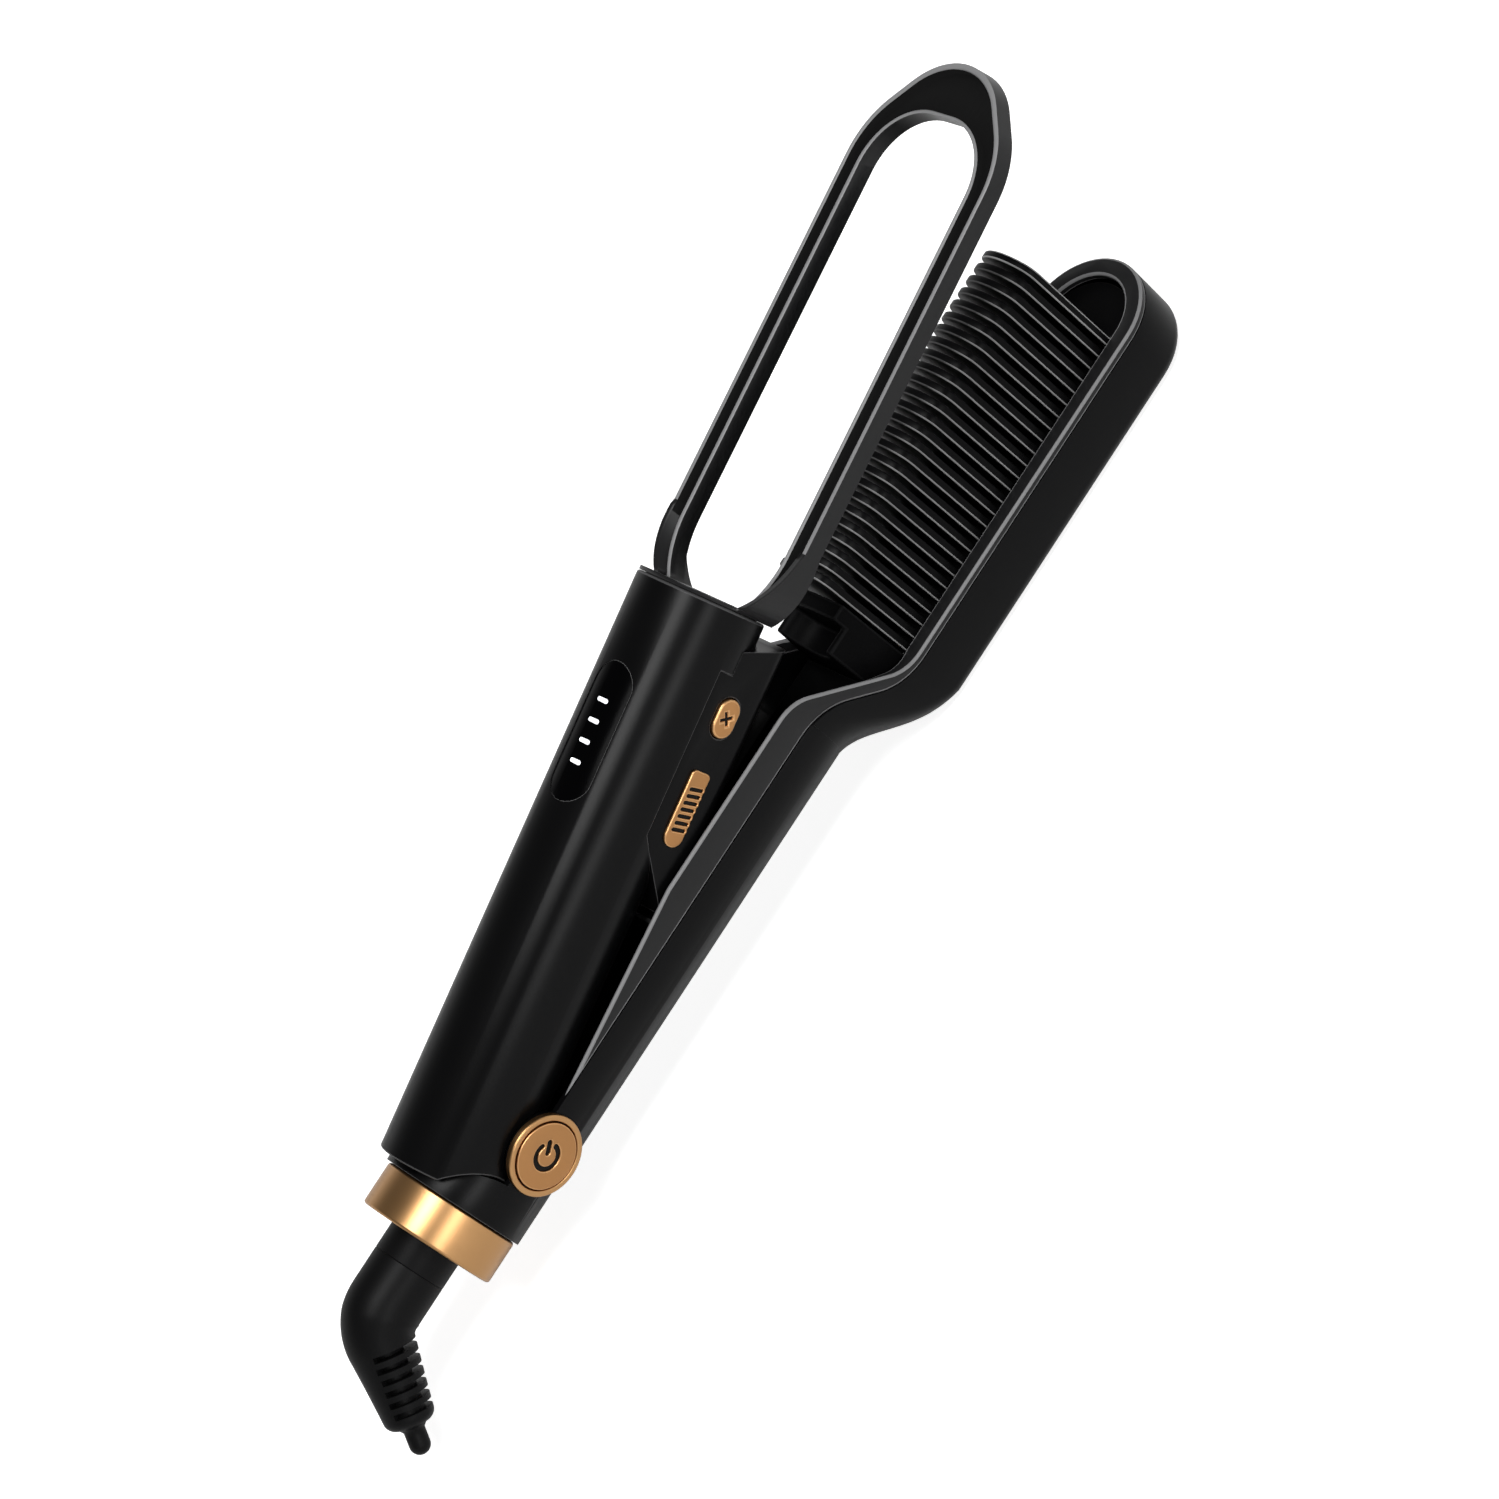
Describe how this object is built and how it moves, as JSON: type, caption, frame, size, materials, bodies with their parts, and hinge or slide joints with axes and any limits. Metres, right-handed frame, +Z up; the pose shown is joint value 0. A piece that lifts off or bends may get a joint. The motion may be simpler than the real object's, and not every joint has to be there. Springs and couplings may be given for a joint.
{
  "type": "hair straightening brush",
  "caption": "Hair straightening brush: a hinged loop arm closes over a heated comb head, with a swivelling cord boot, a power button on the hinge and a slider and button under the upper handle.",
  "frame": {"origin": "middle of the flat land under the comb head", "axes": "+X along the brush arm towards the comb's tip, +Z up out of the fins, +Y away from the keys"},
  "size_m": [0.3368, 0.051, 0.0911],
  "materials": {
    "shell_black": "satin black moulding",
    "trim_black": "semi-gloss black moulding",
    "inner_black": "fine-grained black moulding",
    "comb_black": "black ceramic coat",
    "rose_gold": "rose-gold satin metal",
    "key_gold": "rose-gold satin metal",
    "boot_black": "matt black rubber",
    "window_black": "smoked black lens",
    "light_white": "white light guide",
    "steel": "plain steel",
    "heater_metal": "bare aluminium case",
    "board_green": "circuit board laminate",
    "switch_black": "moulded switch case",
    "lead_red": "silicone lead"
  },
  "bodies": {
    "brush_arm": {"brush_arm_shell": "shell_black", "brush_arm_trim": "trim_black", "channel_floor": "inner_black", "comb_saddle": "inner_black", "head_plate": "inner_black", "heated_comb": "comb_black", "heater": "heater_metal", "heater_clamp": "steel", "thermal_fuse": "heater_metal", "heat_shield": "steel", "head_screws": "steel", "tail_ring": "rose_gold", "swivel_bush": "inner_black", "hinge_pin": "steel", "hinge_cap": "rose_gold", "power_bezel": "rose_gold", "power_switch": "switch_black", "heater_leads": "lead_red"},
    "loop_arm": {"loop_handle": "shell_black", "control_panel": "shell_black", "control_board": "board_green", "key_board": "board_green", "key_switches": "switch_black", "light_window": "window_black", "lights": "light_white", "loop_frame": "trim_black", "loop_screws": "steel", "board_lead": "lead_red", "torsion_spring": "steel"},
    "power_key": {"power_button": "key_gold"},
    "plus_key": {"plus_button": "key_gold"},
    "slider_key": {"temperature_slider": "key_gold"},
    "cord_swivel": {"swivel_stem": "boot_black", "cord_boot": "boot_black"}
  },
  "joints": [
    {"name": "arm_hinge", "type": "hinge", "parent": "brush_arm", "child": "loop_arm", "pos_m": [-0.19, 0, 0.0318], "axis": [0, 1, 0], "range_deg": [0, 12], "stiffness_Nm_per_rad": 0.2, "springref_deg": -40.11},
    {"name": "power_press", "type": "slide", "parent": "brush_arm", "child": "power_key", "axis": [0, 1, 0], "range_m": [0, 0.0005], "stiffness_N_per_m": 500},
    {"name": "plus_press", "type": "slide", "parent": "loop_arm", "child": "plus_key", "axis": [0, 1, 0], "range_m": [0, 0.0005], "stiffness_N_per_m": 500},
    {"name": "slider_slide", "type": "slide", "parent": "loop_arm", "child": "slider_key", "axis": [0.9776, 0, 0.2106], "range_m": [0, 0.004]},
    {"name": "boot_swivel", "type": "hinge", "parent": "brush_arm", "child": "cord_swivel", "pos_m": [-0.2288, 0, 0.0318], "axis": [1, 0, 0], "continuous": true}
  ]
}
